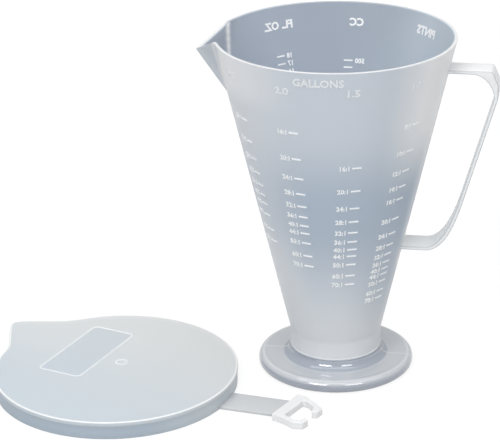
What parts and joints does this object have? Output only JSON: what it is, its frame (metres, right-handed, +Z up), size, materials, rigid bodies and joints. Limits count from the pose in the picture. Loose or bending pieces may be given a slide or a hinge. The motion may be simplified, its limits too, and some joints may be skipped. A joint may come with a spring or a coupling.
{
  "type": "measuring cup",
  "caption": "Tall translucent plastic measuring cup: cone on a round hollow foot, pinched spout, strap handle and raised scale, with its teardrop tethered lid lying beside it.",
  "frame": {"origin": "middle, on the ground, of the rectangle that the cup and its lid cover together", "axes": "+Z up along the cup's axis, +X from the spout towards the handle, +Y away from the side with the mixing ratios"},
  "size_m": [0.2482, 0.1568, 0.1695],
  "materials": {
    "cup_plastic": "natural translucent polypropylene, satin outside and slightly glossier on the foot",
    "lid_plastic": "natural milky polyethylene, softer satin than the cup"
  },
  "bodies": {
    "root": {"cup": "cup_plastic", "lid": "lid_plastic"}
  },
  "joints": []
}
